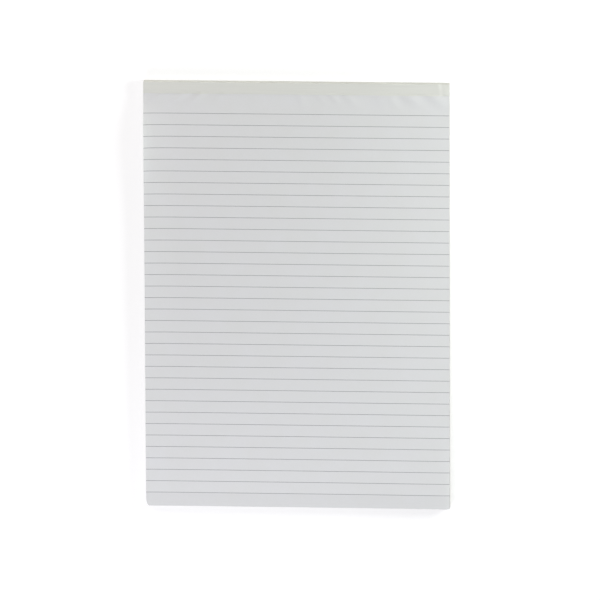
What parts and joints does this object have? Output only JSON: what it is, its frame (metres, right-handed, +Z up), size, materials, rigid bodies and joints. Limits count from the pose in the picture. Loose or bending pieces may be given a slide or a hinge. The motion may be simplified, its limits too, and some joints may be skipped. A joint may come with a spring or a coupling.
{
  "type": "ruled writing pad",
  "caption": "Ruled paper writing pad, glued and tape-bound along its head, with a stiff board at the back.",
  "frame": {"origin": "middle of the pad's footprint, on the surface that it lies on", "axes": "+X along the rules to the right, +Y up the page to the bound head, +Z up out of the ruled face"},
  "size_m": [0.21, 0.2976, 0.0058],
  "materials": {
    "paper": "matt uncoated white bond paper",
    "rule_ink": "matt grey printing ink, soaked into the paper",
    "chipboard": "matt grey chipboard",
    "padding_glue": "dried white padding glue, cream and slightly satin",
    "tape": "smooth cream paper tape, slightly satin"
  },
  "bodies": {
    "root": {"sheets": "paper", "ruled_lines": "rule_ink", "back_board": "chipboard", "padding_glue": "padding_glue", "binding_tape": "tape"}
  },
  "joints": []
}
